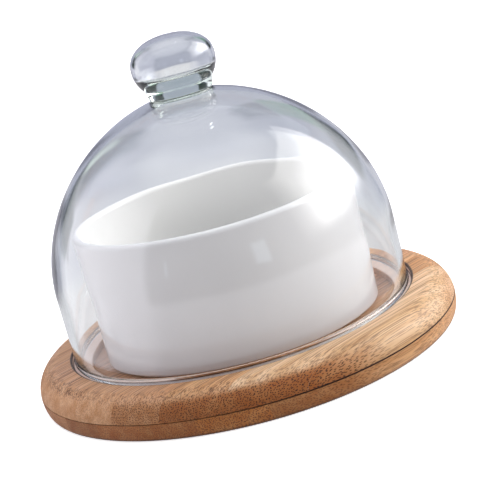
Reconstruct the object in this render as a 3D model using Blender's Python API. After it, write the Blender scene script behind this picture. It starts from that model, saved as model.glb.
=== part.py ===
"""Butter dish: a porcelain bowl on a two-ply bamboo board, under a glass dome with a glass knob.

The frame is metres with +Z up. The origin is the middle of the board's underside. The bowl's size
leads: the board's pocket and seat follow it, then the dome round it, then the board's border.
"""

import math

import bmesh
import bpy

MM = 0.001

# Bowl: a straight-sided crock on a low foot ring
BOWL_DIAMETER = 112.0 * MM
BOWL_HEIGHT = 53.4 * MM
BOWL_WALL = 4.0 * MM
BOWL_FLOOR = 3.8 * MM
BOWL_TAPER = 0.5 * MM
BOWL_OUTER_FILLET = 3.0 * MM
BOWL_INNER_FILLET = 9.0 * MM
FOOT_SHOULDER = 1.1 * MM
FOOT_RING_WIDTH = 5.0 * MM
FOOT_RING_HEIGHT = 0.8 * MM

# Board: strips glued edge to edge into two plies, then turned on a lathe
UPPER_PLY_THICKNESS = 9.0 * MM
LOWER_PLY_THICKNESS = 7.0 * MM
TOP_EDGE_RADIUS = 10.0 * MM
BOTTOM_EDGE_INSET = 2.0 * MM
BOARD_BORDER = 15.5 * MM
STRIP_WIDTH = 20.0 * MM
LEAST_STRIP_WIDTH = 6.0 * MM
UPPER_SEAM_OFFSET = 6.0 * MM
LOWER_SEAM_OFFSET = -6.0 * MM
GRAIN_ANGLE = math.radians(40.0)
GLUE_GAP = 0.3 * MM
SEAT_DEPTH = 2.0 * MM
POCKET_DEPTH = 3.0 * MM
POCKET_CLEARANCE = 6.5 * MM
LIP_RADIUS = 0.8 * MM

# Dome: a straight skirt below a rounded crown, with a thickened rim
SKIRT_BELOW_BOWL_RIM = 22.4 * MM
CROWN_RISE = 65.7 * MM
CROWN_FULLNESS = 1.9
DOME_WALL = 2.4 * MM
RIM_BEAD_DIAMETER = 3.2 * MM
RIM_BEAD_BLEND = 1.4 * MM
RIM_BEAD_BLEND_ANGLE = 40.0
RIM_INSET = 2.7 * MM
SEAT_CLEARANCE = 0.8 * MM

# Knob: a flattened ball, blown hollow, fused to a short solid neck
KNOB_DIAMETER = 33.2 * MM
KNOB_WIDEST_LEVEL = 11.3 * MM
KNOB_RISE = 11.2 * MM
KNOB_FULLNESS = 2.25
NECK_INSET = 4.2 * MM
NECK_TAPER = 1.0 * MM
NECK_HEIGHT = 3.0 * MM
NECK_FILLET = 1.2 * MM
NECK_EDGE = 0.4 * MM
JOINT_LEVEL = 7.0 * MM
HEAD_WALL = 1.4 * MM
HEAD_INNER_FILLET = 2.0 * MM

# Touching pieces stay this far apart
SEAT_GAP = 0.3 * MM

# Facets: whole turns, and quarter turns of large and small rounds
BOARD_SEGMENTS = 80
DOME_SEGMENTS = 56
BOWL_SEGMENTS = 56
KNOB_SEGMENTS = 32
LARGE_ROUND_STEPS = 6
SMALL_ROUND_STEPS = 3
CROWN_STEPS = 12
SMOOTH_ANGLE = math.radians(32.0)
MERGE_DISTANCE = 0.001 * MM
PLANK_MARGIN = 4.0 * MM

# Finishes
BAMBOO = (0.62, 0.40, 0.22)
BAMBOO_ROUGHNESS = 0.5
BAMBOO_SHADES = 3
BAMBOO_SHADE_SPREAD = 0.06
PORCELAIN = (0.86, 0.86, 0.87)
PORCELAIN_ROUGHNESS = 0.12
GLASS = (0.92, 0.96, 0.95)
GLASS_ROUGHNESS = 0.02

# Sizes that follow from those above
BOWL_FOOT_RADIUS = BOWL_DIAMETER / 2 - BOWL_TAPER
POCKET_RADIUS = BOWL_FOOT_RADIUS + POCKET_CLEARANCE
RIM_BEAD_RADIUS = RIM_BEAD_DIAMETER / 2
RIM_CENTRE_RADIUS = POCKET_RADIUS + LIP_RADIUS + RIM_INSET + RIM_BEAD_RADIUS
DOME_RADIUS = RIM_CENTRE_RADIUS + DOME_WALL / 2
SEAT_RADIUS = RIM_CENTRE_RADIUS + RIM_BEAD_RADIUS + SEAT_CLEARANCE
BOARD_RADIUS = SEAT_RADIUS + BOARD_BORDER
BOARD_THICKNESS = UPPER_PLY_THICKNESS + LOWER_PLY_THICKNESS
WIDEST_LEVEL = BOARD_THICKNESS - TOP_EDGE_RADIUS
SEAT_LEVEL = BOARD_THICKNESS - SEAT_DEPTH
POCKET_LEVEL = SEAT_LEVEL - POCKET_DEPTH
DOME_SKIRT = BOWL_HEIGHT - POCKET_DEPTH - SKIRT_BELOW_BOWL_RIM
DOME_HEIGHT = DOME_SKIRT + CROWN_RISE
NECK_RADIUS = KNOB_DIAMETER / 2 - NECK_INSET


def clear_scene():
    """Removes whatever the file held before."""
    for old in list(bpy.data.objects):
        bpy.data.objects.remove(old, do_unlink=True)


def finish_material(name, colour, roughness, transmission=0.0):
    """A plain Principled BSDF for one piece."""
    material = bpy.data.materials.new(name)
    material.use_nodes = True
    shader = material.node_tree.nodes["Principled BSDF"]
    shader.inputs["Base Color"].default_value = (*colour, 1.0)
    shader.inputs["Roughness"].default_value = roughness
    shader.inputs["Metallic"].default_value = 0.0
    shader.inputs["Transmission Weight"].default_value = transmission
    return material


def add_object(name, mesh, parent=None):
    """Links a mesh, or an empty where mesh is None, as a named object."""
    piece = bpy.data.objects.new(name, mesh)
    bpy.context.scene.collection.objects.link(piece)
    piece.parent = parent
    return piece


def add_level(name, height, parent=None):
    """An empty on the common axis, at a height above its parent."""
    level = add_object(name, None, parent)
    level.location.z = height
    return level


def smooth(mesh):
    """Round faces shade smooth and real edges stay sharp."""
    mesh.shade_smooth()
    mesh.set_sharp_from_angle(angle=SMOOTH_ANGLE)


def turned_mesh(name, profile, segments):
    """Spins a profile of (radius, height) points, from axis to axis, into a closed solid."""
    shape = bmesh.new()
    points = [shape.verts.new((radius, 0.0, height)) for radius, height in profile]
    edges = [shape.edges.new(pair) for pair in zip(points, points[1:])]
    bmesh.ops.spin(
        shape,
        geom=points + edges,
        cent=(0, 0, 0),
        axis=(0, 0, 1),
        angle=math.tau,
        steps=segments,
        use_merge=True,
    )
    bmesh.ops.remove_doubles(shape, verts=shape.verts[:], dist=MERGE_DISTANCE)
    bmesh.ops.recalc_face_normals(shape, faces=shape.faces[:])
    mesh = bpy.data.meshes.new(name)
    shape.to_mesh(mesh)
    shape.free()
    smooth(mesh)
    return mesh


def arc(centre, radius, start, end, quarter_steps):
    """Profile points along a circular arc, with angles in degrees from the outward direction."""
    steps = max(1, round(quarter_steps * abs(end - start) / 90))
    points = []
    for step in range(steps + 1):
        angle = math.radians(start + (end - start) * step / steps)
        points.append((centre[0] + radius * math.cos(angle), centre[1] + radius * math.sin(angle)))
    return points


def superellipse(half_width, rise, power, share):
    """One point of a superellipse quarter: share 0 is the widest point and 1 the top."""
    angle = share * math.pi / 2
    across = max(math.cos(angle), 0.0) ** (2 / power)
    up = max(math.sin(angle), 0.0) ** (2 / power)
    return half_width * across, rise * up


def board_edge(low, high):
    """The board's bullnose between two heights: a steep round below its widest level, a full one above."""
    points = []
    for inset, rise, base, top in (
        (BOTTOM_EDGE_INSET, WIDEST_LEVEL, low, min(high, WIDEST_LEVEL)),
        (TOP_EDGE_RADIUS, TOP_EDGE_RADIUS, max(low, WIDEST_LEVEL), high),
    ):
        if base < top:
            start = math.degrees(math.asin((base - WIDEST_LEVEL) / rise))
            end = math.degrees(math.asin((top - WIDEST_LEVEL) / rise))
            for across, up in arc((0.0, 0.0), 1.0, start, end, LARGE_ROUND_STEPS):
                points.append((BOARD_RADIUS - inset + inset * across, WIDEST_LEVEL + rise * up))
    return points


def rounded_lip(radius, level):
    """A recess's upper edge, rounded over, going inwards and down."""
    centre = (radius + LIP_RADIUS, level - LIP_RADIUS)
    return arc(centre, LIP_RADIUS, 90, 180, SMALL_ROUND_STEPS)


def upper_ply_profile():
    """The upper ply with the dome's seat and the bowl's deeper pocket."""
    underside = LOWER_PLY_THICKNESS + GLUE_GAP / 2
    profile = [(0.0, underside)]
    profile += board_edge(underside, BOARD_THICKNESS)
    profile += rounded_lip(SEAT_RADIUS, BOARD_THICKNESS)
    profile.append((SEAT_RADIUS, SEAT_LEVEL))
    profile += rounded_lip(POCKET_RADIUS, SEAT_LEVEL)
    profile.append((POCKET_RADIUS, POCKET_LEVEL))
    profile.append((0.0, POCKET_LEVEL))
    return profile


def lower_ply_profile():
    """The lower ply, with the bullnose's lower round."""
    top = LOWER_PLY_THICKNESS - GLUE_GAP / 2
    return [(0.0, 0.0)] + board_edge(0.0, top) + [(0.0, top)]


def strip_edges(seam_offset):
    """Where the strips of one ply begin and end, measured across the grain."""
    reach = BOARD_RADIUS - LEAST_STRIP_WIDTH
    first = math.ceil((-reach - seam_offset) / STRIP_WIDTH)
    last = math.floor((reach - seam_offset) / STRIP_WIDTH)
    seams = [seam_offset + count * STRIP_WIDTH for count in range(first, last + 1)]
    outside = BOARD_RADIUS + PLANK_MARGIN
    return [-outside] + seams + [outside]


def plank_mesh(name, low, high, base, top):
    """A straight plank along X, between two lines across the grain and two heights."""
    length = 2 * (BOARD_RADIUS + PLANK_MARGIN)
    shape = bmesh.new()
    corners = bmesh.ops.create_cube(shape, size=1.0)["verts"]
    bmesh.ops.scale(shape, vec=(length, high - low, top - base), verts=corners)
    bmesh.ops.translate(shape, vec=(0.0, (low + high) / 2, (base + top) / 2), verts=corners)
    mesh = bpy.data.meshes.new(name)
    shape.to_mesh(mesh)
    shape.free()
    smooth(mesh)
    return mesh


def strip_material(name, index):
    """Bamboo, a little lighter or darker from strip to strip."""
    shade = 1.0 + BAMBOO_SHADE_SPREAD * math.sin(index * math.tau / BAMBOO_SHADES)
    colour = tuple(channel * shade for channel in BAMBOO)
    return finish_material(name, colour, BAMBOO_ROUGHNESS)


def build_ply(name, profile, seam_offset, base, top):
    """Cuts one ply's planks to its turned outline."""
    turning = add_object(f"{name}_turning", turned_mesh(f"{name}_turning", profile, BOARD_SEGMENTS))
    turning.hide_render = True
    turning.display_type = "WIRE"
    edges = strip_edges(seam_offset)
    for index, (low, high) in enumerate(zip(edges, edges[1:]), start=1):
        strip_name = f"{name}_strip_{index}"
        mesh = plank_mesh(
            strip_name,
            low + GLUE_GAP / 2,
            high - GLUE_GAP / 2,
            base - PLANK_MARGIN,
            top + PLANK_MARGIN,
        )
        mesh.materials.append(strip_material(f"{strip_name}_bamboo", index))
        strip = add_object(strip_name, mesh)
        strip.rotation_euler.z = GRAIN_ANGLE
        cut = strip.modifiers.new("turned_outline", "BOOLEAN")
        cut.operation = "INTERSECT"
        cut.solver = "EXACT"
        cut.object = turning


def build_board():
    """Both plies, the upper one with its recesses."""
    build_ply("upper", upper_ply_profile(), UPPER_SEAM_OFFSET, LOWER_PLY_THICKNESS, BOARD_THICKNESS)
    build_ply("lower", lower_ply_profile(), LOWER_SEAM_OFFSET, 0.0, LOWER_PLY_THICKNESS)


def bowl_profile():
    """The bowl from the middle of its underside, round the rim, to the middle of its inner floor."""
    lip = BOWL_WALL / 2
    lip_centre = (BOWL_DIAMETER / 2 - lip, BOWL_HEIGHT - lip)
    outer_centre = (BOWL_FOOT_RADIUS - BOWL_OUTER_FILLET, FOOT_RING_HEIGHT + BOWL_OUTER_FILLET)
    ring_outer = outer_centre[0] - FOOT_SHOULDER
    ring_inner = ring_outer - FOOT_RING_WIDTH
    floor_level = FOOT_RING_HEIGHT + BOWL_FLOOR
    inner_centre = (BOWL_FOOT_RADIUS - BOWL_WALL - BOWL_INNER_FILLET, floor_level + BOWL_INNER_FILLET)
    profile = [(0.0, FOOT_RING_HEIGHT), (ring_inner, FOOT_RING_HEIGHT)]
    profile += [(ring_inner, 0.0), (ring_outer, 0.0), (ring_outer, FOOT_RING_HEIGHT)]
    profile += arc(outer_centre, BOWL_OUTER_FILLET, -90, 0, SMALL_ROUND_STEPS)
    profile += arc(lip_centre, lip, 0, 180, SMALL_ROUND_STEPS)
    profile += arc(inner_centre, BOWL_INNER_FILLET, 0, -90, LARGE_ROUND_STEPS)
    profile.append((0.0, floor_level))
    return profile


def build_bowl(lift):
    """The porcelain bowl, standing in the board's pocket."""
    mesh = turned_mesh("ceramic_bowl", bowl_profile(), BOWL_SEGMENTS)
    mesh.materials.append(finish_material("white_porcelain", PORCELAIN, PORCELAIN_ROUGHNESS))
    add_object("ceramic_bowl", mesh, lift)


def crown_drop(radius):
    """How far the dome's outer face lies below the crown's top, at a distance from the axis."""
    return CROWN_RISE * (1.0 - (1.0 - (radius / DOME_RADIUS) ** CROWN_FULLNESS) ** (1 / CROWN_FULLNESS))


def crown_points(half_width, rise):
    """Profile points of the crown from its widest level to its top."""
    points = []
    for step in range(CROWN_STEPS + 1):
        radius, height = superellipse(half_width, rise, CROWN_FULLNESS, step / CROWN_STEPS)
        points.append((radius, DOME_SKIRT + height))
    return points


def dome_profile():
    """The dome from the crown's outer top, round the rim bead, to the crown's inner top."""
    inner_radius = DOME_RADIUS - DOME_WALL
    blend_level = RIM_BEAD_RADIUS + RIM_BEAD_BLEND
    bead_centre = (RIM_CENTRE_RADIUS, RIM_BEAD_RADIUS)
    bead_start = RIM_BEAD_BLEND_ANGLE
    bead_end = -180 - RIM_BEAD_BLEND_ANGLE
    profile = crown_points(DOME_RADIUS, CROWN_RISE)[::-1]
    profile.append((DOME_RADIUS, blend_level))
    profile += arc(bead_centre, RIM_BEAD_RADIUS, bead_start, bead_end, SMALL_ROUND_STEPS)
    profile.append((inner_radius, blend_level))
    profile += crown_points(inner_radius, CROWN_RISE - DOME_WALL)
    return profile


def build_dome(lift):
    """The blown glass dome, its rim in the board's seat."""
    mesh = turned_mesh("glass_dome", dome_profile(), DOME_SEGMENTS)
    mesh.materials.append(finish_material("dome_glass", GLASS, GLASS_ROUGHNESS, transmission=1.0))
    add_object("glass_dome", mesh, lift)


def knob_cap(half_width, rise):
    """The upper half of the knob's head, from its top to its widest level."""
    steps = 2 * LARGE_ROUND_STEPS
    points = []
    for step in range(steps, -1, -1):
        radius, height = superellipse(half_width, rise, KNOB_FULLNESS, step / steps)
        points.append((radius, KNOB_WIDEST_LEVEL + height))
    return points


def knob_underside(top, base):
    """The knob's tapering outer face between two heights below its widest level."""
    half_width = KNOB_DIAMETER / 2
    narrowing = math.sqrt(1.0 - ((NECK_RADIUS + NECK_TAPER) / half_width) ** 2)
    reach = (KNOB_WIDEST_LEVEL - NECK_HEIGHT) / narrowing
    points = []
    for step in range(SMALL_ROUND_STEPS + 1):
        height = top + (base - top) * step / SMALL_ROUND_STEPS
        points.append((half_width * math.sqrt(1.0 - ((KNOB_WIDEST_LEVEL - height) / reach) ** 2), height))
    return points


def head_profile():
    """The blown head, from its outer top round the joint to its inner top, above the crown's top."""
    base = JOINT_LEVEL + SEAT_GAP
    inner_radius = KNOB_DIAMETER / 2 - HEAD_WALL
    corner = (inner_radius - HEAD_INNER_FILLET, base + HEAD_INNER_FILLET)
    profile = knob_cap(KNOB_DIAMETER / 2, KNOB_RISE)
    profile += knob_underside(KNOB_WIDEST_LEVEL, base)
    profile += arc(corner, HEAD_INNER_FILLET, -90, 0, SMALL_ROUND_STEPS)
    profile += knob_cap(inner_radius, KNOB_RISE - HEAD_WALL)[::-1]
    return profile


def neck_profile():
    """The solid neck from the joint to the face that follows the crown. Heights are above the crown's top."""
    base = NECK_RADIUS + NECK_FILLET
    fillet_centre = (base, SEAT_GAP - crown_drop(base) + NECK_EDGE + NECK_FILLET)
    profile = [(0.0, JOINT_LEVEL)]
    profile += knob_underside(JOINT_LEVEL, NECK_HEIGHT)
    profile += arc(fillet_centre, NECK_FILLET, 180, 270, SMALL_ROUND_STEPS)
    for step in range(LARGE_ROUND_STEPS, -1, -1):
        radius = base * step / LARGE_ROUND_STEPS
        profile.append((radius, SEAT_GAP - crown_drop(radius)))
    return profile


def build_knob(crown):
    """The knob's neck on the dome's crown, and the blown head on the neck."""
    for name, profile in (("knob_neck", neck_profile()), ("glass_knob", head_profile())):
        mesh = turned_mesh(name, profile, KNOB_SEGMENTS)
        mesh.materials.append(finish_material(f"{name}_glass", GLASS, GLASS_ROUGHNESS, transmission=1.0))
        add_object(name, mesh, crown)


def build():
    """Puts the board down, then the bowl and the dome on their lifting axes."""
    clear_scene()
    build_board()
    bowl_lift = add_level("bowl_lift", POCKET_LEVEL + SEAT_GAP)
    dome_lift = add_level("dome_lift", POCKET_DEPTH, bowl_lift)
    crown = add_level("crown", DOME_HEIGHT, dome_lift)
    build_bowl(bowl_lift)
    build_dome(dome_lift)
    build_knob(crown)


build()
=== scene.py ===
"""Looks of the butter dish: clear glass dome, white glazed bowl and laminated bamboo board."""

import math

import bmesh
import bpy
from mathutils import Matrix, Vector


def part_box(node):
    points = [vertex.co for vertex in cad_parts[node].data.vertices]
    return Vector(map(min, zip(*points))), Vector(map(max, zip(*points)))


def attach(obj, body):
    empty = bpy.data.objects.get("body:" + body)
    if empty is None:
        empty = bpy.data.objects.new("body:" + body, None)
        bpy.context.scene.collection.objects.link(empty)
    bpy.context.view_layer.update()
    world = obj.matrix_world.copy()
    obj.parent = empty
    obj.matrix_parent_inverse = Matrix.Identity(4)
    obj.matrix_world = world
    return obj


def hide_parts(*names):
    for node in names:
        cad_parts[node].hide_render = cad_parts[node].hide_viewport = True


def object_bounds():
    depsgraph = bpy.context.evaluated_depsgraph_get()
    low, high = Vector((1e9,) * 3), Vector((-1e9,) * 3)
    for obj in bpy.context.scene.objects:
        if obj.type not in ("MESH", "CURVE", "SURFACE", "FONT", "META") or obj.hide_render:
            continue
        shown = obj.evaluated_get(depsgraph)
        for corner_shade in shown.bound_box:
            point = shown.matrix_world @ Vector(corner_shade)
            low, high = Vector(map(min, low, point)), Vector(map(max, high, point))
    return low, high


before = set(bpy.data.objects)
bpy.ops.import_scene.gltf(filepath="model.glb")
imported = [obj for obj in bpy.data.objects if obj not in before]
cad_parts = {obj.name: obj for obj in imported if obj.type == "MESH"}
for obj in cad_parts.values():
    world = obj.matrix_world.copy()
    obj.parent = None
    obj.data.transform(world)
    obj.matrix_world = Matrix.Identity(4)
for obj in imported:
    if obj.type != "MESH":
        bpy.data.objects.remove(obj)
cad_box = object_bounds()

MM = 0.001

# Places and outer sizes, read from the frame
BOARD_RADIUS = cad_box[1][0]
BOARD_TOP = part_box("upper_strip_1")[1].z
PLY_LEVEL = (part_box("upper_strip_1")[0].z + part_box("lower_strip_1")[1].z) / 2
BOWL_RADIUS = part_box("ceramic_bowl")[1].x
BOWL_FOOT_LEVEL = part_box("ceramic_bowl")[0].z
BOWL_RIM_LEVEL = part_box("ceramic_bowl")[1].z
RIM_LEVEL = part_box("glass_dome")[0].z
CROWN_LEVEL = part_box("glass_dome")[1].z
RIM_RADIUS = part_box("glass_dome")[1].x
KNOB_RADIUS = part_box("glass_knob")[1].x
KNOB_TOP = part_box("glass_knob")[1].z

# Board
TOP_EDGE_RADIUS = 10.0 * MM
BOTTOM_EDGE_INSET = 2.0 * MM
SEAT_RADIUS = 69.5 * MM
SEAT_DEPTH = 2.0 * MM
POCKET_RADIUS = 62.0 * MM
POCKET_DEPTH = 5.0 * MM
LIP_RADIUS = 0.8 * MM
PLY_GAP = 0.3 * MM
CAD_SEAM_GAP = 0.3 * MM
SEAM_GAP = 0.04 * MM
GRAIN_ANGLE = math.radians(40.0)
WIDEST_LEVEL = BOARD_TOP - TOP_EDGE_RADIUS

# Bowl
BOWL_WALL = 4.0 * MM
BOWL_FLOOR = 3.8 * MM
BOWL_TAPER = 0.5 * MM
BOWL_OUTER_FILLET = 1.5 * MM
BOWL_INNER_FILLET = 9.0 * MM
FOOT_SHOULDER = 1.1 * MM
FOOT_RING_WIDTH = 5.0 * MM
FOOT_RING_HEIGHT = 0.8 * MM
FOOT_EDGE = 0.3 * MM

# Dome and knob
RIM_BEAD_RADIUS = 1.6 * MM
RIM_BEAD_BLEND = 1.4 * MM
RIM_BEAD_BLEND_ANGLE = 40.0
DOME_WALL = 2.4 * MM
DOME_SKIRT = 28.0 * MM
CROWN_FULLNESS = 1.9
DOME_RADIUS = RIM_RADIUS - RIM_BEAD_RADIUS + DOME_WALL / 2
CROWN_RISE = CROWN_LEVEL - RIM_LEVEL - DOME_SKIRT
KNOB_WIDEST_LEVEL = CROWN_LEVEL + 11.3 * MM
KNOB_RISE = KNOB_TOP - KNOB_WIDEST_LEVEL
KNOB_FULLNESS = 2.25
NECK_RADIUS = KNOB_RADIUS - 4.2 * MM
NECK_TAPER = 1.0 * MM
NECK_TOP = CROWN_LEVEL + 3.0 * MM
NECK_FILLET = 1.0 * MM
BUBBLE_WALL = 1.4 * MM
BUBBLE_FLOOR = CROWN_LEVEL + 7.0 * MM
BUBBLE_FILLET = 2.0 * MM

# Fineness of the meshes
BOARD_SEGMENTS = 288
BOWL_SEGMENTS = 224
CLOCHE_SEGMENTS = 256
BUBBLE_SEGMENTS = 128
STAGE_SEGMENTS = 96
CROWN_STEPS = 64
KNOB_STEPS = 40
KNOB_UNDER_STEPS = 16
BUBBLE_STEPS = 32
MERGE_DISTANCE = 0.001 * MM
CUT_TOLERANCE = 0.0001 * MM
SHARP_ANGLE = 35.0
STRIP_SHARP_ANGLE = 25.0
GLASS_SHARP_ANGLE = 60.0

# Camera, fitted to the circles of the board, dome, bowl and knob
CAMERA_PLACE = Vector((0.0, -568.4, 186.8)) * MM
CAMERA_PAN = 0.0178
CAMERA_TILT = -0.253
CAMERA_ROLL = -0.2590
CAMERA_LENS = 106.72
CAMERA_SENSOR = 36.0


def spun(profile, segments):
    """Spins a profile of (radius, height) points about the axis."""
    shape = bmesh.new()
    points = [shape.verts.new((radius, 0.0, height)) for radius, height in profile]
    edges = [shape.edges.new(pair) for pair in zip(points, points[1:])]
    bmesh.ops.spin(
        shape,
        geom=points + edges,
        cent=(0, 0, 0),
        axis=(0, 0, 1),
        angle=math.tau,
        steps=segments,
        use_merge=True,
    )
    bmesh.ops.remove_doubles(shape, verts=shape.verts[:], dist=MERGE_DISTANCE)
    return shape


def saved_mesh(name, shape):
    """The finished mesh of a shape that is no longer needed."""
    mesh = bpy.data.meshes.new(name)
    shape.to_mesh(mesh)
    shape.free()
    return mesh


def turned_mesh(name, profile, segments, ripple=None):
    """A closed body from a profile that runs from axis to axis."""
    shape = spun(profile, segments)
    bmesh.ops.recalc_face_normals(shape, faces=shape.faces[:])
    if ripple:
        shape.normal_update()
        offsets = [(vert, vert.normal * ripple(vert.co)) for vert in shape.verts]
        for vert, offset in offsets:
            vert.co += offset
    return saved_mesh(name, shape)


def arc(centre, radius, start, end, steps):
    """Profile points along a circular arc, with angles in degrees from the outward direction."""
    points = []
    for step in range(steps + 1):
        angle = math.radians(start + (end - start) * step / steps)
        points.append((centre[0] + radius * math.cos(angle), centre[1] + radius * math.sin(angle)))
    return points


def line(start, end, steps):
    """Evenly spaced profile points strictly between two points."""
    points = []
    for step in range(1, steps):
        share = step / steps
        points.append((start[0] + (end[0] - start[0]) * share, start[1] + (end[1] - start[1]) * share))
    return points


def superellipse(half_width, rise, power, share):
    """One point of a superellipse quarter: share 0 is the widest point and 1 the top."""
    angle = share * math.pi / 2
    across = max(math.cos(angle), 0.0) ** (2 / power)
    up = max(math.sin(angle), 0.0) ** (2 / power)
    return half_width * across, rise * up


def smooth(mesh, angle=SHARP_ANGLE):
    """Round faces shade smooth and real edges stay sharp."""
    mesh.shade_smooth()
    mesh.set_sharp_from_angle(angle=math.radians(angle))


def add_piece(name, mesh, material, body, nodes):
    """Links a mesh as a piece of the visual model, in the place of CAD nodes."""
    piece = bpy.data.objects.new(name, mesh)
    bpy.context.scene.collection.objects.link(piece)
    mesh.materials.clear()
    mesh.materials.append(material)
    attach(piece, body)
    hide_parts(*nodes)
    return piece


class Nodes:
    """Short calls for building one node tree."""

    def __init__(self, tree):
        self.tree = tree

    def add(self, kind, inputs=None, **settings):
        """A node with its settings and its input values or links."""
        node = self.tree.nodes.new(kind)
        for key, value in settings.items():
            setattr(node, key, value)
        for key, value in (inputs or {}).items():
            self.feed(node.inputs[key], value)
        return node

    def feed(self, socket, value):
        """Links an output to a socket, or sets the socket's value."""
        if isinstance(value, bpy.types.NodeSocket):
            self.tree.links.new(value, socket)
        else:
            socket.default_value = value

    def maths(self, operation, first, second=0.0):
        """A Math node's result."""
        return self.add("ShaderNodeMath", {0: first, 1: second}, operation=operation).outputs[0]

    def times(self, first, second):
        """The product of two values."""
        return self.maths("MULTIPLY", first, second)

    def reach(self, spot):
        """How far a separated place is from the upright axis."""
        squares = [self.maths("POWER", spot.outputs[axis], 2.0) for axis in ("X", "Y")]
        return self.maths("SQRT", self.maths("ADD", *squares))

    def ramp(self, value, low, high, start=0.0, end=1.0):
        """A smooth step of a value from start to end as it goes from low to high."""
        inputs = {"Value": value, "From Min": low, "From Max": high, "To Min": start, "To Max": end}
        node = self.add("ShaderNodeMapRange", inputs, interpolation_type="SMOOTHSTEP")
        return node.outputs["Result"]

    def mix(self, factor, first, second, blend="MIX"):
        """A colour mix."""
        node = self.add("ShaderNodeMix", data_type="RGBA", blend_type=blend)
        self.feed(node.inputs[0], factor)
        self.feed(node.inputs[6], first)
        self.feed(node.inputs[7], second)
        return node.outputs[2]

    def noise(self, vector, scale, detail=3.0, roughness=0.5):
        """A noise value from 0 to 1."""
        inputs = {"Vector": vector, "Scale": scale, "Detail": detail, "Roughness": roughness}
        return self.add("ShaderNodeTexNoise", inputs).outputs["Fac"]

    def stretched(self, vector, scale, turn=0.0, shift=(0.0, 0.0, 0.0)):
        """Coordinates turned about Z, then scaled along each axis."""
        inputs = {"Vector": vector, "Rotation": (0.0, 0.0, turn), "Location": shift}
        turned = self.add("ShaderNodeMapping", inputs)
        scaled = self.add("ShaderNodeVectorMath", {0: turned.outputs[0], 1: scale}, operation="MULTIPLY")
        return scaled.outputs[0]


def new_material(name):
    """A material with an empty Principled BSDF, its shader and its node helper."""
    material = bpy.data.materials.new(name)
    material.use_nodes = True
    shader = material.node_tree.nodes["Principled BSDF"]
    return material, shader, Nodes(material.node_tree)


def set_values(shader, **values):
    """Constant values on the shader's own sockets."""
    for key, value in values.items():
        shader.inputs[key.replace("_", " ")].default_value = value


# Bamboo

BAMBOO_PALE = (0.680, 0.415, 0.215, 1.0)
BAMBOO_DEEP = (0.500, 0.255, 0.100, 1.0)
BAMBOO_LINE = (0.170, 0.066, 0.026, 1.0)
BAMBOO_END = (0.310, 0.098, 0.016, 1.0)
BUNDLE_DARK = (0.030, 0.010, 0.002, 1.0)
GLUE_DARK = (0.030, 0.010, 0.004, 1.0)
# A dark colour for painted shade in the seat's corner, along its lip and at the bottom edge
PAINTED_SHADE_DARK = (0.020, 0.012, 0.010, 1.0)
# Painted shade for the pocket, and painted light for the ledge under the glass rim
POCKET_PAINTED_SHADE = (0.86, 0.82, 0.92, 1.0)
LEDGE_PAINTED_LIGHT = (0.700, 0.580, 0.540, 1.0)
BUNDLE_SPACING = 0.60 * MM
BUNDLE_WANDER = 1.2
WANDER_LENGTH = 60.0 * MM
WANDER_SPACING = 6.0 * MM
STREAK_SPACING = 4.0 * MM
STREAK_LENGTH = 160.0 * MM
FIBRE_SPACING = 0.45 * MM
FIBRE_LENGTH = 50.0 * MM
STRIP_SHIFT = 0.37
GLUE_LINE = 0.36 * MM
LOWER_FIRST = 10
FAR_END_SHARE = 0.25
UPPER_END_TINT = (1.04, 0.96, 0.86)
# Painted shade towards the board's near ends and painted light towards its far ends
NEAR_PAINTED_SHADE = 0.86
FAR_PAINTED_LIGHT = 1.12
LEDGE_INNER_RADIUS = 62.2 * MM
# Share of painted light on the ledge
LEDGE_LIGHT_SHARE = 0.75
# Shares of painted shade in the seat's corner, along its lip and at the bottom edge, and the height of the
# last
CORNER_PAINTED_SHADE = 0.85
LIP_PAINTED_SHADE = 0.90
BOTTOM_PAINTED_SHADE = 0.75
BOTTOM_SHADE_HEIGHT = 1.6 * MM

# Tint, share of dark end grain, strength of its dots and of the grain lines, strip by strip
# The pale, blue-leaning tints of strips 1, 2 and 5 to 7 hold painted sheen and light as well as the strips'
# own tone
UPPER_LOOKS = (
    ((1.06, 1.18, 1.34), 1.00, 1.00, 0.70),
    ((1.20, 1.40, 1.75), 1.00, 1.00, 0.80),
    ((1.00, 0.95, 0.92), 0.95, 1.00, 1.00),
    ((0.98, 0.90, 0.94), 0.45, 0.90, 0.90),
    ((1.08, 1.04, 1.14), 0.05, 0.35, 0.80),
    ((1.12, 1.08, 1.20), 0.05, 0.25, 1.20),
    ((1.12, 1.09, 1.25), 0.05, 0.25, 1.00),
    ((1.06, 1.02, 1.10), 0.30, 0.50, 0.70),
    ((1.05, 1.00, 1.05), 0.40, 0.60, 0.70),
)
LOWER_LOOKS = (
    ((1.05, 1.00, 0.92), 0.80, 0.60, 0.60),
    ((1.35, 1.32, 1.20), 0.90, 0.90, 0.60),
    ((1.08, 0.98, 0.88), 0.80, 0.70, 0.60),
    ((1.08, 0.95, 0.88), 0.80, 0.65, 0.60),
    ((0.88, 0.76, 0.68), 0.70, 0.55, 0.60),
    ((1.00, 0.90, 0.90), 0.50, 0.45, 0.60),
    ((0.98, 0.88, 0.84), 0.60, 0.50, 0.60),
    ((1.02, 0.92, 0.86), 0.60, 0.60, 0.60),
    ((0.94, 0.84, 0.80), 0.60, 0.60, 0.60),
)


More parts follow.
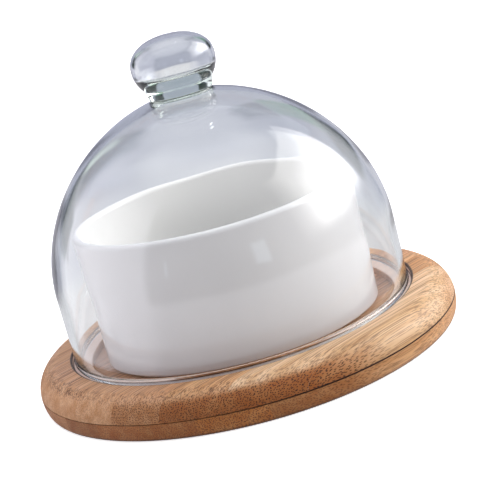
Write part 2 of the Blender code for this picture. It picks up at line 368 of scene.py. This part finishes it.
def bamboo_material(name, index, looks, end_tint):
    """Bamboo with fibre bundles along the grain: lines on the long faces and dots on the cut ends."""
    tint, bite, dots, lines = looks
    material, shader, nodes = new_material(name)
    place = nodes.add("ShaderNodeTexCoord").outputs["Object"]
    shift = (STRIP_SHIFT * index, 0.0, 0.0)

    def grain(length, spacing):
        """Coordinates along and across the grain, in steps of a length and a spacing."""
        scale = (1 / length, 1 / spacing, 1 / spacing)
        return nodes.stretched(place, scale, turn=-GRAIN_ANGLE, shift=shift)

    # Bundles are rods along the grain: cells of a flat pattern across it, which wander along it
    wander = nodes.add(
        "ShaderNodeTexNoise",
        {"Vector": grain(WANDER_LENGTH, WANDER_SPACING), "Scale": 1.0, "Detail": 1.0},
    ).outputs["Color"]
    swing = nodes.add(
        "ShaderNodeVectorMath",
        {0: wander, 1: (0.0, BUNDLE_WANDER, BUNDLE_WANDER)},
        operation="MULTIPLY",
    )
    rods = nodes.add(
        "ShaderNodeVectorMath",
        {0: grain(1.0, BUNDLE_SPACING), 1: swing.outputs[0]},
        operation="ADD",
    )
    cross = nodes.add("ShaderNodeSeparateXYZ", {0: rods.outputs[0]})
    section = nodes.add("ShaderNodeCombineXYZ", {0: cross.outputs["Y"], 1: cross.outputs["Z"]})
    cells = nodes.add(
        "ShaderNodeTexVoronoi",
        {"Vector": section.outputs[0], "Scale": 1.0, "Randomness": 0.95},
        voronoi_dimensions="2D",
    ).outputs["Distance"]
    bundle = nodes.ramp(cells, 0.36, 0.18)
    streak = nodes.noise(grain(STREAK_LENGTH, STREAK_SPACING), 1.0, detail=4.0, roughness=0.6)
    fibre = nodes.noise(grain(FIBRE_LENGTH, FIBRE_SPACING), 1.0, detail=2.0)
    line = nodes.noise(grain(FIBRE_LENGTH * 2, FIBRE_SPACING * 2), 1.0, detail=3.0, roughness=0.7)

    # Cut ends are the steep faces that look along the grain
    normal = nodes.add("ShaderNodeNewGeometry").outputs["Normal"]
    along = (math.cos(GRAIN_ANGLE), math.sin(GRAIN_ANGLE), 0.0)
    facing = nodes.add("ShaderNodeVectorMath", {0: normal, 1: along}, operation="DOT_PRODUCT")
    near_end = nodes.ramp(facing.outputs["Value"], -0.05, -0.38)
    far_end = nodes.ramp(facing.outputs["Value"], 0.08, 0.60, 0.0, FAR_END_SHARE)
    slope = nodes.add("ShaderNodeSeparateXYZ", {0: normal}).outputs["Z"]
    end_grain = nodes.maths("ADD", near_end, far_end)
    end_grain = nodes.times(end_grain, nodes.ramp(slope, 0.90, 0.66))

    long_face = nodes.mix(nodes.ramp(streak, 0.30, 0.70), BAMBOO_DEEP, BAMBOO_PALE)
    long_face = nodes.mix(nodes.ramp(fibre, 0.35, 0.75, 0.0, 0.45), long_face, BAMBOO_DEEP)
    vein_share = nodes.ramp(end_grain, 0.0, 1.0, 0.7 * lines, 0.15)
    vein = nodes.times(nodes.ramp(line, 0.52, 0.60), vein_share)
    long_face = nodes.mix(vein, long_face, BAMBOO_LINE)
    cut_end = nodes.mix(nodes.ramp(streak, 0.35, 0.80, 0.0, 0.5), BAMBOO_END, BAMBOO_DEEP)
    end_share = nodes.times(end_grain, bite)
    colour = nodes.mix(end_share, long_face, cut_end)
    strength = nodes.ramp(end_grain, 0.0, 1.0, 0.6 * lines, 0.97 * dots)
    colour = nodes.mix(nodes.times(bundle, strength), colour, BUNDLE_DARK)
    hue = nodes.mix(end_share, (*tint, 1.0), (*(end_tint or tint), 1.0))
    colour = nodes.mix(1.0, colour, hue, blend="MULTIPLY")

    # Painted shade darkens the board towards its near ends, and painted light lifts its far ends
    length = nodes.add("ShaderNodeVectorMath", {0: place, 1: along}, operation="DOT_PRODUCT")
    painted_light_fade = nodes.ramp(length.outputs["Value"], -BOARD_RADIUS, BOARD_RADIUS, NEAR_PAINTED_SHADE, FAR_PAINTED_LIGHT)
    shade = nodes.add("ShaderNodeCombineColor", {0: painted_light_fade, 1: painted_light_fade, 2: painted_light_fade})
    colour = nodes.mix(1.0, colour, shade.outputs[0], blend="MULTIPLY")

    spot = nodes.add("ShaderNodeSeparateXYZ", {0: place})
    height = spot.outputs["Z"]
    radius = nodes.reach(spot)

    def ring(inner, outer, soft):
        """1 between two radii and 0 outside them."""
        inside = nodes.ramp(radius, outer + soft, outer - soft)
        return nodes.times(inside, nodes.ramp(radius, inner - soft, inner + soft))

    # Glue squeezed out between the plies, more of it towards the right
    depth = nodes.maths("ABSOLUTE", nodes.maths("SUBTRACT", height, PLY_LEVEL))
    glue = nodes.ramp(depth, GLUE_LINE, GLUE_LINE * 0.5)
    glue = nodes.times(glue, nodes.ramp(spot.outputs["X"], -40.0 * MM, 30.0 * MM, 0.10, 1.0))
    colour = nodes.mix(glue, colour, GLUE_DARK)

    # Painted shade darkens the pocket, and painted light makes the ledge under the glass rim paler
    pocket_shade = nodes.ramp(radius, POCKET_RADIUS, POCKET_RADIUS - 0.6 * MM)
    colour = nodes.mix(pocket_shade, colour, POCKET_PAINTED_SHADE, blend="MULTIPLY")
    ledge_light = nodes.times(ring(LEDGE_INNER_RADIUS, SEAT_RADIUS + 0.1 * MM, 0.3 * MM), LEDGE_LIGHT_SHARE)
    colour = nodes.mix(ledge_light, colour, LEDGE_PAINTED_LIGHT)

    # Painted shade darkens the seat's corner, a band along its lip and the bottom edge
    seat_level = BOARD_TOP - SEAT_DEPTH
    corner_shade = nodes.times(ring(SEAT_RADIUS - 0.3 * MM, SEAT_RADIUS + 0.3 * MM, 0.1 * MM), CORNER_PAINTED_SHADE)
    corner_shade = nodes.times(corner_shade, nodes.ramp(height, seat_level + 0.4 * MM, seat_level + 0.2 * MM))
    colour = nodes.mix(corner_shade, colour, PAINTED_SHADE_DARK)
    lip = nodes.times(ring(SEAT_RADIUS - 0.1 * MM, SEAT_RADIUS + 0.9 * MM, 0.15 * MM), LIP_PAINTED_SHADE)
    lip = nodes.times(lip, nodes.ramp(height, BOARD_TOP - 0.9 * MM, BOARD_TOP - 0.5 * MM))
    colour = nodes.mix(lip, colour, PAINTED_SHADE_DARK)
    bottom_shade = nodes.ramp(height, BOTTOM_SHADE_HEIGHT, 0.0, 0.0, BOTTOM_PAINTED_SHADE)
    colour = nodes.mix(bottom_shade, colour, PAINTED_SHADE_DARK)
    nodes.feed(shader.inputs["Base Color"], colour)

    roughness = nodes.ramp(fibre, 0.2, 0.8, 0.36, 0.52)
    roughness = nodes.maths("ADD", roughness, nodes.times(end_grain, 0.25))
    nodes.feed(shader.inputs["Roughness"], roughness)
    relief = nodes.maths("SUBTRACT", nodes.times(fibre, 0.4), bundle)
    bump = nodes.add("ShaderNodeBump", {"Strength": 0.30, "Distance": 0.06 * MM, "Height": relief})
    nodes.feed(shader.inputs["Normal"], bump.outputs[0])
    set_values(shader, Specular_IOR_Level=0.45)
    return material


def board_edge(low, high, steps):
    """The board's bullnose between two heights: a steep round below its widest level, a full one above."""
    points = []
    for inset, rise, base, top in (
        (BOTTOM_EDGE_INSET, WIDEST_LEVEL, low, min(high, WIDEST_LEVEL)),
        (TOP_EDGE_RADIUS, TOP_EDGE_RADIUS, max(low, WIDEST_LEVEL), high),
    ):
        if base < top:
            start = math.degrees(math.asin(max(-1.0, (base - WIDEST_LEVEL) / rise)))
            end = math.degrees(math.asin(min(1.0, (top - WIDEST_LEVEL) / rise)))
            for across, up in arc((0.0, 0.0), 1.0, start, end, steps):
                points.append((BOARD_RADIUS - inset + inset * across, WIDEST_LEVEL + rise * up))
    return points


def rounded_lip(radius, level):
    """A recess's upper edge, rounded over, going inwards and down."""
    return arc((radius + LIP_RADIUS, level - LIP_RADIUS), LIP_RADIUS, 90, 180, 6)


def upper_ply_profile():
    """The upper ply with the dome's seat and the bowl's deeper pocket."""
    seat_level = BOARD_TOP - SEAT_DEPTH
    pocket_level = BOARD_TOP - POCKET_DEPTH
    underside = PLY_LEVEL + PLY_GAP / 2
    profile = [(0.0, underside)]
    profile += board_edge(underside, BOARD_TOP, 16)
    profile += rounded_lip(SEAT_RADIUS, BOARD_TOP)
    profile.append((SEAT_RADIUS, seat_level))
    profile += rounded_lip(POCKET_RADIUS, seat_level)
    profile.append((POCKET_RADIUS, pocket_level))
    profile.append((0.0, pocket_level))
    return profile


def lower_ply_profile():
    """The lower ply, with the bullnose's lower round."""
    top = PLY_LEVEL - PLY_GAP / 2
    return [(0.0, 0.0)] + board_edge(0.0, top, 12) + [(0.0, top)]


def strip_span(node):
    """How far a strip of the frame reaches across the grain."""
    across = Vector((-math.sin(GRAIN_ANGLE), math.cos(GRAIN_ANGLE), 0.0))
    reach = [across.dot(vert.co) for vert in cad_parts[node].data.vertices]
    return across, min(reach), max(reach)


def strip_mesh(name, turning, node):
    """Saws one strip out of a turned ply."""
    across, low, high = strip_span(node)
    spare = (CAD_SEAM_GAP - SEAM_GAP) / 2
    shape = bmesh.new()
    shape.from_mesh(turning)
    for level, side in ((low - spare, -1), (high + spare, 1)):
        if abs(level) < BOARD_RADIUS - MM:
            parts = shape.verts[:] + shape.edges[:] + shape.faces[:]
            cut = bmesh.ops.bisect_plane(
                shape,
                geom=parts,
                dist=CUT_TOLERANCE,
                plane_co=across * level,
                plane_no=across * side,
                clear_outer=True,
            )
            rim = [item for item in cut["geom_cut"] if isinstance(item, bmesh.types.BMEdge)]
            bmesh.ops.triangle_fill(shape, edges=rim, use_beauty=True)
    bmesh.ops.recalc_face_normals(shape, faces=shape.faces[:])
    mesh = saved_mesh(name, shape)
    smooth(mesh, STRIP_SHARP_ANGLE)
    return mesh


def build_board():
    """Both plies, strip by strip."""
    plies = (
        ("upper", upper_ply_profile(), UPPER_LOOKS, UPPER_END_TINT, 0),
        ("lower", lower_ply_profile(), LOWER_LOOKS, None, LOWER_FIRST),
    )
    for ply, profile, ply_looks, end_tint, first in plies:
        turning = turned_mesh(f"{ply}_turning", profile, BOARD_SEGMENTS)
        for index, looks in enumerate(ply_looks, start=1):
            name = f"{ply}_bamboo_{index}"
            node = f"{ply}_strip_{index}"
            mesh = strip_mesh(name, turning, node)
            material = bamboo_material(name, first + index, looks, end_tint)
            add_piece(name, mesh, material, "board", [node])


# Bowl

PORCELAIN = (0.79, 0.79, 0.815, 1.0)
PORCELAIN_SHADE = (0.76, 0.76, 0.785, 1.0)
# Painted light for the inside, and a mauve painted shade for the outside near the foot
PORCELAIN_INSIDE_PAINTED_LIGHT = (0.815, 0.812, 0.808, 1.0)
FOOT_PAINTED_SHADE = (0.52, 0.45, 0.47, 1.0)
FOOT_SHADE_HEIGHT = 8.0 * MM
FOOT_SHADE_SHARE = 0.35


def porcelain_material():
    """White glaze with the faint unevenness of a dipped coat."""
    material, shader, nodes = new_material("white_porcelain")
    place = nodes.add("ShaderNodeTexCoord").outputs["Object"]
    cloud = nodes.noise(place, 35.0, detail=3.0)
    colour = nodes.mix(nodes.ramp(cloud, 0.35, 0.7), PORCELAIN, PORCELAIN_SHADE)

    # Painted light makes the inside whiter and a little warmer, and painted shade darkens the outside to
    # mauve near the foot
    spot = nodes.add("ShaderNodeSeparateXYZ", {0: place})
    radius = nodes.reach(spot)
    wall_inner = BOWL_RADIUS - BOWL_WALL
    wall_middle = BOWL_RADIUS - BOWL_WALL / 2
    colour = nodes.mix(nodes.ramp(radius, wall_middle, wall_inner), colour, PORCELAIN_INSIDE_PAINTED_LIGHT)
    foot_shade_top = BOWL_FOOT_LEVEL + FOOT_SHADE_HEIGHT
    foot_shade = nodes.ramp(spot.outputs["Z"], foot_shade_top, BOWL_FOOT_LEVEL, 0.0, FOOT_SHADE_SHARE)
    foot_shade = nodes.times(foot_shade, nodes.ramp(radius, wall_inner, wall_middle))
    colour = nodes.mix(foot_shade, colour, FOOT_PAINTED_SHADE)
    nodes.feed(shader.inputs["Base Color"], colour)
    nodes.feed(shader.inputs["Roughness"], nodes.ramp(nodes.noise(place, 90.0), 0.3, 0.8, 0.05, 0.10))
    ripple = nodes.noise(place, 60.0, detail=1.0)
    bump = nodes.add("ShaderNodeBump", {"Strength": 0.25, "Distance": 0.15 * MM, "Height": ripple})
    nodes.feed(shader.inputs["Normal"], bump.outputs[0])
    set_values(shader, IOR=1.52)
    return material


def bowl_profile():
    """The bowl from the middle of its underside, round the rim, to the middle of its inner floor."""
    foot_radius = BOWL_RADIUS - BOWL_TAPER
    base = BOWL_FOOT_LEVEL
    underside = base + FOOT_RING_HEIGHT
    lip = BOWL_WALL / 2
    lip_centre = (BOWL_RADIUS - lip, BOWL_RIM_LEVEL - lip)
    outer_centre = (foot_radius - BOWL_OUTER_FILLET, underside + BOWL_OUTER_FILLET)
    ring_outer = outer_centre[0] - FOOT_SHOULDER
    ring_inner = ring_outer - FOOT_RING_WIDTH
    floor_level = underside + BOWL_FLOOR
    inner_centre = (foot_radius - BOWL_WALL - BOWL_INNER_FILLET, floor_level + BOWL_INNER_FILLET)
    profile = [(0.0, underside), (ring_inner, underside)]
    profile += arc((ring_inner + FOOT_EDGE, base + FOOT_EDGE), FOOT_EDGE, 180, 270, 4)
    profile += arc((ring_outer - FOOT_EDGE, base + FOOT_EDGE), FOOT_EDGE, -90, 0, 4)
    profile.append((ring_outer, underside))
    profile += arc(outer_centre, BOWL_OUTER_FILLET, -90, 0, 10)
    profile += line((foot_radius, outer_centre[1]), (BOWL_RADIUS, lip_centre[1]), 10)
    profile += arc(lip_centre, lip, 0, 180, 20)
    profile += line((BOWL_RADIUS - BOWL_WALL, lip_centre[1]), (foot_radius - BOWL_WALL, inner_centre[1]), 10)
    profile += arc(inner_centre, BOWL_INNER_FILLET, 0, -90, 14)
    profile.append((0.0, floor_level))
    return profile


def build_bowl():
    """The glazed bowl."""
    mesh = turned_mesh("white_bowl", bowl_profile(), BOWL_SEGMENTS)
    smooth(mesh)
    add_piece("white_bowl", mesh, porcelain_material(), "bowl", ["ceramic_bowl"])


# Glass

GLASS_TINT = (0.985, 0.995, 0.990, 1.0)
GLASS_ABSORPTION = (0.62, 0.80, 0.68, 1.0)
GLASS_DENSITY = 22.0
GLASS_IOR = 1.5
RIPPLE_HEIGHT = 0.07 * MM
RIPPLE_REACH = 25.0 * MM
RIPPLE_RISE = 20.0 * MM


def glass_material():
    """Clear soda glass, faintly green through its thickness and a little smudged."""
    material, shader, nodes = new_material("clear_glass")
    place = nodes.add("ShaderNodeTexCoord").outputs["Object"]
    smudge = nodes.noise(place, 45.0, detail=4.0, roughness=0.6)
    nodes.feed(shader.inputs["Roughness"], nodes.ramp(smudge, 0.45, 0.8, 0.0, 0.02))
    set_values(shader, Base_Color=GLASS_TINT, Transmission_Weight=1.0, IOR=GLASS_IOR)
    volume = nodes.add("ShaderNodeVolumeAbsorption", {"Color": GLASS_ABSORPTION, "Density": GLASS_DENSITY})
    output = material.node_tree.nodes["Material Output"]
    nodes.feed(output.inputs["Volume"], volume.outputs[0])
    return material


def glass_ripple(place):
    """How far hand-worked glass swells out of true at a point."""
    turn = math.atan2(place.y, place.x)
    height = place.z / MM
    reach = min(1.0, math.hypot(place.x, place.y) / RIPPLE_REACH)
    long_wave = math.sin(3 * turn + 0.045 * height) * math.sin(0.06 * height + 1.3)
    short_wave = math.sin(7 * turn - 0.11 * height + 0.8) * math.cos(0.17 * height)
    rise = max(0.0, min(1.0, (place.z - RIM_LEVEL) / RIPPLE_RISE))
    return RIPPLE_HEIGHT * reach * rise * (long_wave + 0.45 * short_wave)


def crown_level(radius):
    """Height of the dome's outer face at a distance from the axis."""
    share = 1.0 - (radius / DOME_RADIUS) ** CROWN_FULLNESS
    return RIM_LEVEL + DOME_SKIRT + CROWN_RISE * share ** (1 / CROWN_FULLNESS)


def knob_profile():
    """The knob from its top down to the crown, where its neck flares into the dome."""
    points = []
    for step in range(KNOB_STEPS, -1, -1):
        radius, height = superellipse(KNOB_RADIUS, KNOB_RISE, KNOB_FULLNESS, step / KNOB_STEPS)
        points.append((radius, KNOB_WIDEST_LEVEL + height))
    under_drop = KNOB_WIDEST_LEVEL - NECK_TOP
    under_reach = under_drop / math.sqrt(1.0 - ((NECK_RADIUS + NECK_TAPER) / KNOB_RADIUS) ** 2)
    for step in range(1, KNOB_UNDER_STEPS + 1):
        drop = under_drop * step / KNOB_UNDER_STEPS
        points.append((KNOB_RADIUS * math.sqrt(1.0 - (drop / under_reach) ** 2), KNOB_WIDEST_LEVEL - drop))
    centre_radius = NECK_RADIUS + NECK_FILLET
    slope = (crown_level(centre_radius + MM) - crown_level(centre_radius - MM)) / (2 * MM)
    lean = math.atan(-slope)
    touch = centre_radius - NECK_FILLET * math.sin(lean)
    centre = (centre_radius, crown_level(touch) + NECK_FILLET * math.cos(lean))
    neck_foot = (NECK_RADIUS, centre[1])
    points += line(points[-1], neck_foot, 6)
    points += arc(centre, NECK_FILLET, 180, 270 - math.degrees(lean), 8)
    return points


def bubble_profile():
    """The air bubble blown into the knob's head, from its top to the middle of its floor."""
    half_width = KNOB_RADIUS - BUBBLE_WALL
    points = []
    bubble_rise = KNOB_RISE - BUBBLE_WALL
    for step in range(BUBBLE_STEPS, -1, -1):
        radius, height = superellipse(half_width, bubble_rise, KNOB_FULLNESS, step / BUBBLE_STEPS)
        points.append((radius, KNOB_WIDEST_LEVEL + height))
    points += arc((half_width - BUBBLE_FILLET, BUBBLE_FLOOR + BUBBLE_FILLET), BUBBLE_FILLET, 0, -90, 10)
    points.append((0.0, BUBBLE_FLOOR))
    return points


def cloche_profile():
    """Knob and dome as one piece of glass, from the knob's top to the middle of the crown's inner face."""
    inner_radius = DOME_RADIUS - DOME_WALL
    inner_rise = CROWN_RISE - DOME_WALL
    base = RIM_LEVEL + DOME_SKIRT
    bead_centre = (RIM_RADIUS - RIM_BEAD_RADIUS, RIM_LEVEL + RIM_BEAD_RADIUS)
    blend_level = bead_centre[1] + RIM_BEAD_BLEND
    profile = knob_profile()
    neck_end = profile[-1][0]
    for step in range(CROWN_STEPS - 1, -1, -1):
        radius, height = superellipse(DOME_RADIUS, CROWN_RISE, CROWN_FULLNESS, step / CROWN_STEPS)
        if radius > neck_end + 0.5 * MM:
            profile.append((radius, base + height))
    profile += line((DOME_RADIUS, base), (DOME_RADIUS, blend_level), 8)
    profile.append((DOME_RADIUS, blend_level))
    profile += arc(bead_centre, RIM_BEAD_RADIUS, RIM_BEAD_BLEND_ANGLE, -180 - RIM_BEAD_BLEND_ANGLE, 24)
    profile.append((inner_radius, blend_level))
    profile += line((inner_radius, blend_level), (inner_radius, base), 8)
    for step in range(CROWN_STEPS + 1):
        radius, height = superellipse(inner_radius, inner_rise, CROWN_FULLNESS, step / CROWN_STEPS)
        profile.append((radius, base + height))
    return profile


def build_cloche():
    """The glass dome with its knob, one clear body."""
    mesh = turned_mesh("glass_cloche", cloche_profile(), CLOCHE_SEGMENTS, glass_ripple)
    bubble = turned_mesh("bubble", bubble_profile(), BUBBLE_SEGMENTS)
    bubble.flip_normals()
    shape = bmesh.new()
    shape.from_mesh(mesh)
    shape.from_mesh(bubble)
    shape.to_mesh(mesh)
    shape.free()
    smooth(mesh, GLASS_SHARP_ANGLE)
    nodes = ["glass_dome", "knob_neck", "glass_knob"]
    cloche = add_piece("glass_cloche", mesh, glass_material(), "dome", nodes)
    cloche.visible_shadow = False
    cloche.visible_diffuse = False


# Studio

FLOOR_RADIUS = 1.6
FLOOR_WALL = 2.4
FLOOR_CURVE = 0.8
FLOOR_WHITE = (0.92, 0.92, 0.92, 1.0)
FLOOR_GLOW = 0.62
STAGE_ROUGHNESS = 0.9
TABLE_DROP = 0.2 * MM
TABLE_ALBEDO = (0.75, 0.73, 0.72, 1.0)
BACK_COLOUR = (0.455, 0.468, 0.580, 1.0)
FRONT_COLOUR = (0.035, 0.035, 0.040, 1.0)
TABLE_COLOUR = (0.78, 0.775, 0.825, 1.0)
OVERHEAD_COLOUR = (1.85, 1.83, 1.85, 1.0)
KEY_COLOUR = (6.3, 6.2, 6.15, 1.0)
KEY_EDGE_COLOUR = (2.9, 2.85, 2.8, 1.0)
FILL_COLOUR = (1.25, 1.22, 1.32, 1.0)
WINDOW_COLOUR = (1.10, 1.25, 1.40, 1.0)
FLAG_COLOUR = (0.030, 0.042, 0.040, 1.0)
LEAF_COLOUR = (0.18, 0.34, 0.26, 1.0)
GLINT_COLOUR = (0.75, 0.90, 0.82, 1.0)
LAMP_COLOUR = (12.0, 12.0, 12.0, 1.0)
CARD_COLOUR = (0.66, 0.66, 0.75, 1.0)
SWAY = 16.0
SWAY_SCALE = 2.2

# Small things that glass and glaze reflect: turns to the right of the viewer's side, rises above
# the horizon, both in degrees, softness and colour
PATCHES = (
    ((18.5, 28.5), (4.0, 22.0), 1.5, WINDOW_COLOUR),
    ((-41.6, -40.2), (10.0, 24.0), 0.6, WINDOW_COLOUR),
    ((140.0, 155.0), (33.0, 54.0), 1.5, FLAG_COLOUR),
    ((143.0, 157.0), (15.0, 33.0), 1.5, LEAF_COLOUR),
    ((-157.0, -141.0), (15.0, 49.0), 3.0, FLAG_COLOUR),
    ((-156.0, -151.0), (16.0, 32.0), 2.0, GLINT_COLOUR),
    ((154.8, 157.2), (66.0, 68.0), 0.6, LAMP_COLOUR),
)


def disc_mesh(name, profile):
    """An open sheet turned about the axis."""
    mesh = saved_mesh(name, spun(profile, STAGE_SEGMENTS))
    smooth(mesh)
    return mesh


def add_stage(name, mesh, material):
    """Links a sheet of the studio, hidden from mirrors and from what is seen through glass."""
    mesh.materials.append(material)
    sheet = bpy.data.objects.new(name, mesh)
    bpy.context.scene.collection.objects.link(sheet)
    sheet.visible_glossy = False
    sheet.visible_transmission = False
    return sheet


def build_floor():
    """A plain pale floor that curves up into a wall, and below it the table that takes the dish's shadow."""
    wall = [(0.0, 0.0)] + arc((FLOOR_RADIUS, FLOOR_CURVE), FLOOR_CURVE, -90, 0, 12)
    wall.append((FLOOR_RADIUS + FLOOR_CURVE, FLOOR_WALL))
    material, shader, _ = new_material("pale_floor")
    set_values(
        shader,
        Base_Color=FLOOR_WHITE,
        Roughness=STAGE_ROUGHNESS,
        Emission_Color=(1.0, 1.0, 1.0, 1.0),
        Emission_Strength=FLOOR_GLOW,
    )
    floor = add_stage("floor", disc_mesh("floor", wall), material)
    floor.visible_diffuse = False
    floor.visible_shadow = False

    material, shader, _ = new_material("table")
    set_values(shader, Base_Color=TABLE_ALBEDO, Roughness=STAGE_ROUGHNESS)
    table_line = [(0.0, -TABLE_DROP), (FLOOR_RADIUS, -TABLE_DROP)]
    table = add_stage("table", disc_mesh("table", table_line), material)
    table.visible_camera = False


def build_world():
    """A lilac-grey studio: dark in front, pale behind and below, with a large softbox on the right."""
    world = bpy.data.worlds.new("studio")
    world.use_nodes = True
    bpy.context.scene.world = world
    nodes = Nodes(world.node_tree)
    direction = nodes.add("ShaderNodeTexCoord").outputs["Generated"]
    parts = nodes.add("ShaderNodeSeparateXYZ", {0: direction})
    across, away, up = parts.outputs["X"], parts.outputs["Y"], parts.outputs["Z"]
    turn = nodes.maths("DEGREES", nodes.maths("ARCTAN2", across, nodes.times(away, -1.0)))
    rise = nodes.maths("DEGREES", nodes.maths("ARCSINE", up))
    sway = nodes.maths("SUBTRACT", nodes.noise(direction, SWAY_SCALE, detail=1.0), 0.5)
    rise_swayed = nodes.maths("ADD", rise, nodes.times(sway, SWAY))

    def patch(turns, rises, soft, foot=None):
        """A soft-edged patch: turns to the right of the viewer's side, rises above the horizon."""
        foot = foot or soft
        mask = nodes.ramp(turn, turns[0] - soft, turns[0] + soft)
        mask = nodes.times(mask, nodes.ramp(turn, turns[1] + soft, turns[1] - soft))
        mask = nodes.times(mask, nodes.ramp(rise_swayed, rises[0] - foot, rises[0] + foot))
        return nodes.times(mask, nodes.ramp(rise_swayed, rises[1] + soft, rises[1] - soft))

    # Front and back, table, ceiling, and a wide fill on the left
    colour = nodes.mix(nodes.ramp(away, -0.3, 0.7), FRONT_COLOUR, BACK_COLOUR)
    colour = nodes.mix(nodes.ramp(up, -0.11, -0.24), colour, TABLE_COLOUR)
    colour = nodes.mix(nodes.ramp(rise, 35.0, 70.0), colour, OVERHEAD_COLOUR)
    colour = nodes.mix(patch((-137.0, -56.0), (-20.0, 55.0), 4.0), colour, FILL_COLOUR)

    # The softbox is brightest low on its right, and its left side fades downwards
    core = nodes.times(nodes.ramp(rise, 46.0, 26.0), nodes.ramp(turn, 62.0, 92.0))
    key = nodes.mix(core, KEY_EDGE_COLOUR, KEY_COLOUR)
    fading = nodes.maths("MAXIMUM", nodes.ramp(turn, 48.0, 76.0), nodes.ramp(rise, 47.0, 52.0))
    softbox = nodes.times(patch((53.0, 127.0), (9.0, 47.0), 1.5, foot=9.0), fading)
    colour = nodes.mix(softbox, colour, key)

    # Dark corners behind on both sides, which the knob's neck shows at its ends
    low = nodes.times(nodes.ramp(rise, 0.5, 3.5), nodes.ramp(rise, 17.0, 13.0))
    corners = nodes.times(nodes.ramp(away, 0.63, 0.66), nodes.ramp(away, 0.92, 0.89))
    colour = nodes.mix(nodes.times(low, corners), colour, FLAG_COLOUR)

    # Pale cards under them keep the dome's outline light
    below = nodes.times(nodes.ramp(rise, -15.0, -11.0), nodes.ramp(rise, 1.0, -2.0))
    sides = nodes.times(nodes.ramp(away, 0.82, 0.86), nodes.ramp(away, 0.985, 0.970))
    colour = nodes.mix(nodes.times(below, sides), colour, CARD_COLOUR)

    for turns, rises, soft, patch_colour in PATCHES:
        colour = nodes.mix(patch(turns, rises, soft), colour, patch_colour)
    background = world.node_tree.nodes["Background"]
    nodes.feed(background.inputs["Color"], colour)


def build_camera():
    """The camera, rolled so that the dish leans to the left as in the photo."""
    forward = Vector((
        math.sin(CAMERA_PAN) * math.cos(CAMERA_TILT),
        math.cos(CAMERA_PAN) * math.cos(CAMERA_TILT),
        math.sin(CAMERA_TILT),
    ))
    level = Vector((math.cos(CAMERA_PAN), -math.sin(CAMERA_PAN), 0.0))
    upright = level.cross(forward)
    right = math.cos(CAMERA_ROLL) * level + math.sin(CAMERA_ROLL) * upright
    up = math.cos(CAMERA_ROLL) * upright - math.sin(CAMERA_ROLL) * level
    matrix = Matrix((right, up, -forward)).transposed().to_4x4()
    matrix.translation = CAMERA_PLACE
    data = bpy.data.cameras.new("camera")
    data.sensor_width = CAMERA_SENSOR
    data.lens = CAMERA_LENS
    data.clip_start = 0.01
    camera = bpy.data.objects.new("camera", data)
    bpy.context.scene.collection.objects.link(camera)
    camera.matrix_world = matrix
    bpy.context.scene.camera = camera


bpy.context.scene.view_settings.view_transform = "Standard"
build_board()
build_bowl()
build_cloche()
build_floor()
build_world()
build_camera()
